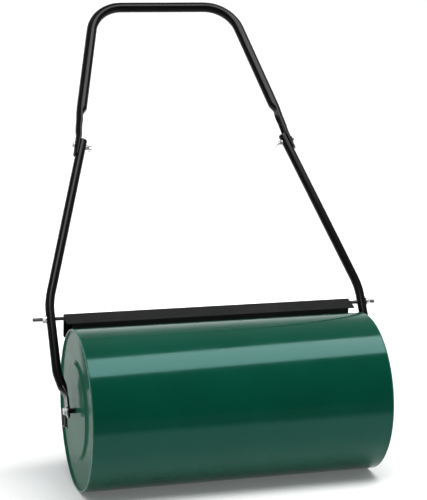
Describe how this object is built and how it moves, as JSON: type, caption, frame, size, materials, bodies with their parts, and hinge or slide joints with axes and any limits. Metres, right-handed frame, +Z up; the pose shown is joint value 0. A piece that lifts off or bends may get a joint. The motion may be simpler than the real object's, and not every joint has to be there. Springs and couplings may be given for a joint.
{
  "type": "lawn roller",
  "caption": "Push lawn roller: hollow water-fillable steel drum turning in a tubular handle, with a sheet scraper bar hinged on a rod above it.",
  "frame": {"origin": "on the ground, below the middle of the drum's axis", "axes": "+X along the drum's axis, +Z up, -Y to the front; the handle leans back towards +Y"},
  "size_m": [0.728, 0.6487, 0.9464],
  "materials": {
    "drum_green": "gloss enamel",
    "frame_black": "satin powder coat",
    "scraper_black": "satin powder coat",
    "zinc_steel": "bright zinc plate",
    "black_plastic": "moulded",
    "black_rubber": "moulded"
  },
  "bodies": {
    "handle_frame": {"upper_handle": "frame_black", "cross_rod": "zinc_steel", "left_arm": "frame_black", "left_arm_plug": "black_plastic", "left_handle_bolt": "zinc_steel", "left_handle_washer": "zinc_steel", "left_rod_washer": "zinc_steel", "left_rod_nut": "zinc_steel", "right_arm": "frame_black", "right_arm_plug": "black_plastic", "right_handle_bolt": "zinc_steel", "right_handle_washer": "zinc_steel", "right_rod_washer": "zinc_steel", "right_rod_nut": "zinc_steel"},
    "drum": {"drum_shell": "drum_green", "left_end_disc": "drum_green", "right_end_disc": "drum_green", "filler_neck": "drum_green", "left_hub_boss": "drum_green", "left_axle_sleeve": "frame_black", "left_axle_washer": "zinc_steel", "left_axle_bolt": "zinc_steel", "right_hub_boss": "drum_green", "right_axle_sleeve": "frame_black", "right_axle_washer": "zinc_steel", "right_axle_bolt": "zinc_steel"},
    "filler_ring": {"filler_gasket": "black_rubber"},
    "filler_screw": {"filler_plug": "black_plastic"},
    "scraper": {"scraper_blade": "scraper_black", "left_scraper_lug": "scraper_black", "right_scraper_lug": "scraper_black"},
    "left_wing": {"left_wing_nut": "zinc_steel"},
    "right_wing": {"right_wing_nut": "zinc_steel"}
  },
  "joints": [
    {"name": "drum_spin", "type": "hinge", "parent": "handle_frame", "child": "drum", "pos_m": [0, 0, 0.16], "axis": [1, 0, 0], "continuous": true},
    {"name": "scraper_pivot", "type": "hinge", "parent": "handle_frame", "child": "scraper", "pos_m": [0, 0.0975, 0.3252], "axis": [1, 0, 0], "range_deg": [-7, 0]},
    {"name": "plug_travel", "type": "slide", "parent": "drum", "child": "filler_ring", "axis": [-1, 0, 0], "range_m": [0, 0.01]},
    {"name": "plug_turn", "type": "hinge", "parent": "filler_ring", "child": "filler_screw", "pos_m": [-0.302, 0.11483, 0.11592], "axis": [-1, 0, 0], "range_deg": [0, 1440]},
    {"name": "left_wing_turn", "type": "hinge", "parent": "handle_frame", "child": "left_wing", "pos_m": [-0.22518, 0.28922, 0.65002], "axis": [-0.9555, 0.15, 0.2541], "continuous": true},
    {"name": "right_wing_turn", "type": "hinge", "parent": "handle_frame", "child": "right_wing", "pos_m": [0.22518, 0.28922, 0.65002], "axis": [0.9555, 0.15, 0.2541], "continuous": true}
  ],
  "couplings": [
    {"joint": "plug_travel", "follows": "plug_turn", "m_per_rad": 0.0003978}
  ]
}
